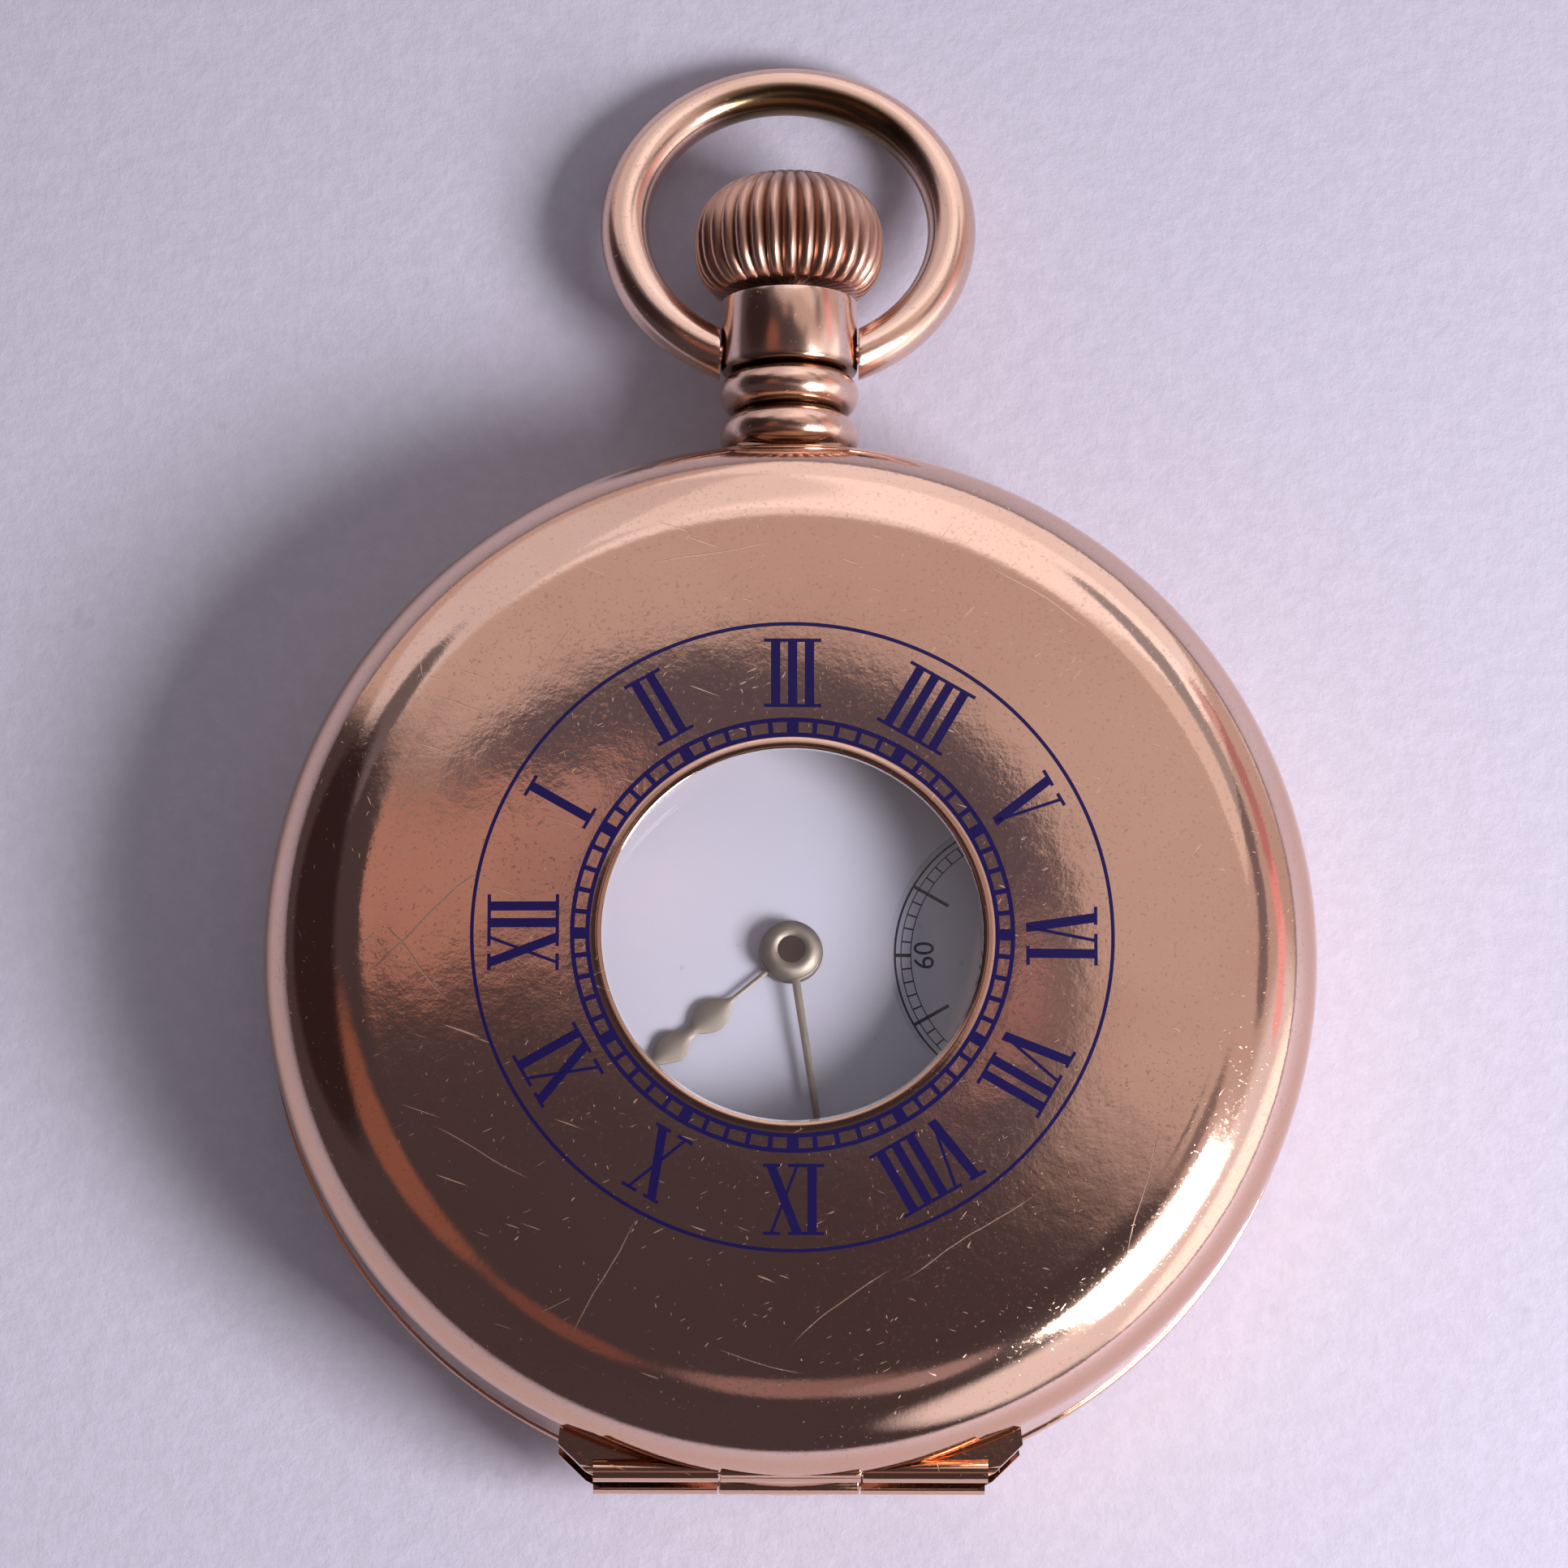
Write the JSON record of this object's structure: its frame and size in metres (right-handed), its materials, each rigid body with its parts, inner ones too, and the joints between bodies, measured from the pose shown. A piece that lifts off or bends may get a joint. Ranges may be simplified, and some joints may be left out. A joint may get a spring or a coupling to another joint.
{
  "type": "half hunter pocket watch",
  "caption": "Round metal pocket watch with a hinged front cover that has a small window in an enamel hour ring, a bow, a pressing and winding crown, and a geared movement.",
  "frame": {"origin": "centre of the flat back that the watch lies on", "axes": "+Z through the case towards the front cover, +Y from the case's centre towards the pendant, the crown and the bow, X across"},
  "size_m": [0.05, 0.072, 0.0137],
  "materials": {
    "case_gold": "polished rose gold, lightly scratched; the front lid carries a dark blue enamel chapter ring",
    "steel": "polished steel",
    "movement_brass": "frosted gilt brass",
    "crystal": "clear polished glass",
    "jewel": "red ruby",
    "dial_enamel": "white fired enamel with printed black tracks",
    "hand_steel": "polished metal"
  },
  "bodies": {
    "case": {"case_band": "case_gold", "pendant": "case_gold", "front_hinge_pin": "steel", "back_hinge_pin": "steel", "cuvette_hinge_pin": "steel", "bezel": "case_gold", "dial_glass": "crystal", "lift_spring": "steel", "main_plate": "movement_brass", "barrel_bridge": "movement_brass", "train_bridge": "movement_brass", "balance_cock": "movement_brass", "lever_bridge": "steel", "bridge_screws": "steel", "crown_wheel_core": "steel", "click_screw": "steel", "click_spring": "steel", "hairspring": "steel", "end_stone": "jewel", "dial": "dial_enamel", "seconds_dial": "dial_enamel"},
    "front_cover": {"front_lid": "case_gold", "window_glass": "crystal"},
    "back_cover": {"back_lid": "case_gold"},
    "dust_cover": {"cuvette": "case_gold"},
    "bow_ring": {"bow": "case_gold"},
    "catch": {"lock_spring": "steel"},
    "stem_group": {"stem": "steel", "winding_pinion": "steel", "clutch": "steel"},
    "crown_group": {"crown": "case_gold", "crown_sleeve": "steel"},
    "crown_wheel_group": {"crown_wheel": "steel"},
    "ratchet_group": {"ratchet_wheel": "steel", "barrel_arbor": "steel", "ratchet_screw": "steel"},
    "click_group": {"click": "steel"},
    "barrel_group": {"barrel": "movement_brass"},
    "centre_group": {"centre_wheel": "movement_brass", "centre_pinion": "steel"},
    "third_group": {"third_wheel": "movement_brass", "third_pinion": "steel"},
    "fourth_group": {"fourth_wheel": "movement_brass", "fourth_pinion": "steel", "seconds_hand": "hand_steel"},
    "escape_group": {"escape_wheel": "steel", "escape_pinion": "steel"},
    "lever_group": {"lever": "steel", "lever_stones": "jewel", "lever_arbor": "steel"},
    "balance_group": {"balance_wheel": "movement_brass", "balance_staff": "steel", "roller": "steel"},
    "regulator_group": {"regulator": "steel"},
    "minute_group": {"minute_hand": "hand_steel", "cannon_pinion": "steel"},
    "minute_wheel_group": {"minute_wheel": "movement_brass"},
    "hour_group": {"hour_wheel": "movement_brass", "hour_hand": "hand_steel"}
  },
  "joints": [
    {"name": "front_lid_hinge", "type": "hinge", "parent": "case", "child": "front_cover", "pos_m": [0, -0.0246, 0.0082], "axis": [1, 0, 0], "range_deg": [0, 95]},
    {"name": "back_lid_hinge", "type": "hinge", "parent": "case", "child": "back_cover", "pos_m": [0, -0.0246, 0.0044], "axis": [-1, 0, 0], "range_deg": [0, 100]},
    {"name": "cuvette_hinge", "type": "hinge", "parent": "case", "child": "dust_cover", "pos_m": [0, -0.0232, 0.00272], "axis": [-1, 0, 0], "range_deg": [0, 85]},
    {"name": "bow_swing", "type": "hinge", "parent": "case", "child": "bow_ring", "pos_m": [0, 0.0306, 0.0054], "axis": [1, 0, 0], "range_deg": [-72, 103]},
    {"name": "stem_turn", "type": "hinge", "parent": "case", "child": "stem_group", "pos_m": [0, 0.02, 0.0054], "axis": [0, 1, 0], "continuous": true},
    {"name": "crown_press", "type": "slide", "parent": "stem_group", "child": "crown_group", "axis": [0, -1, 0], "range_m": [0, 0.00035], "stiffness_N_per_m": 1500},
    {"name": "catch_release", "type": "slide", "parent": "case", "child": "catch", "axis": [0, -1, 0], "range_m": [0, 0.00035]},
    {"name": "crown_wheel_turn", "type": "hinge", "parent": "case", "child": "crown_wheel_group", "pos_m": [0, 0.01093, 0.0033], "axis": [0, 0, 1], "continuous": true},
    {"name": "ratchet_turn", "type": "hinge", "parent": "case", "child": "ratchet_group", "pos_m": [-0.0096, 0.00449, 0.0033], "axis": [0, 0, 1], "continuous": true},
    {"name": "click_lift", "type": "hinge", "parent": "case", "child": "click_group", "pos_m": [-0.01872, 0.00118, 0.0031], "axis": [0, 0, -1], "range_deg": [0, 12], "stiffness_Nm_per_rad": 0.0003},
    {"name": "fourth_wheel_turn", "type": "hinge", "parent": "case", "child": "fourth_group", "pos_m": [0.0115, 0, 0.005], "axis": [0, 0, 1], "continuous": true},
    {"name": "barrel_turn", "type": "hinge", "parent": "case", "child": "barrel_group", "pos_m": [-0.0096, 0.00449, 0.005], "axis": [0, 0, 1], "continuous": true},
    {"name": "centre_wheel_turn", "type": "hinge", "parent": "case", "child": "centre_group", "pos_m": [0, 0, 0.005], "axis": [0, 0, 1], "continuous": true},
    {"name": "third_wheel_turn", "type": "hinge", "parent": "case", "child": "third_group", "pos_m": [0.00722, 0.00437, 0.005], "axis": [0, 0, 1], "continuous": true},
    {"name": "escape_wheel_turn", "type": "hinge", "parent": "case", "child": "escape_group", "pos_m": [0.0092, -0.00459, 0.005], "axis": [0, 0, 1], "continuous": true},
    {"name": "lever_swing", "type": "hinge", "parent": "case", "child": "lever_group", "pos_m": [0.00676, -0.00809, 0.005], "axis": [0, 0, 1], "range_deg": [-4, 4]},
    {"name": "balance_swing", "type": "hinge", "parent": "case", "child": "balance_group", "pos_m": [0.0034, -0.0129, 0.005], "axis": [0, 0, 1], "range_deg": [-15, 255]},
    {"name": "regulator_turn", "type": "hinge", "parent": "case", "child": "regulator_group", "pos_m": [0.0034, -0.0129, 0.0027], "axis": [0, 0, 1], "range_deg": [-15, 15]},
    {"name": "minute_hand_turn", "type": "hinge", "parent": "case", "child": "minute_group", "pos_m": [0, 0, 0.009], "axis": [0, 0, 1], "continuous": true},
    {"name": "minute_wheel_turn", "type": "hinge", "parent": "case", "child": "minute_wheel_group", "pos_m": [-0.00059, 0.00335, 0.007], "axis": [0, 0, 1], "continuous": true},
    {"name": "hour_hand_turn", "type": "hinge", "parent": "case", "child": "hour_group", "pos_m": [0, 0, 0.0085], "axis": [0, 0, 1], "continuous": true}
  ],
  "couplings": [
    {"joint": "cuvette_hinge", "follows": "back_lid_hinge", "ratio": 0.85},
    {"joint": "catch_release", "follows": "crown_press", "ratio": 1},
    {"joint": "crown_wheel_turn", "follows": "stem_turn", "ratio": 0.45833},
    {"joint": "ratchet_turn", "follows": "stem_turn", "ratio": -0.25},
    {"joint": "third_wheel_turn", "follows": "fourth_wheel_turn", "ratio": -0.13333},
    {"joint": "centre_wheel_turn", "follows": "fourth_wheel_turn", "ratio": 0.016667},
    {"joint": "barrel_turn", "follows": "fourth_wheel_turn", "ratio": -0.0027778},
    {"joint": "escape_wheel_turn", "follows": "fourth_wheel_turn", "ratio": -8},
    {"joint": "minute_wheel_turn", "follows": "minute_hand_turn", "ratio": -0.33333},
    {"joint": "hour_hand_turn", "follows": "minute_hand_turn", "ratio": 0.083333}
  ]
}
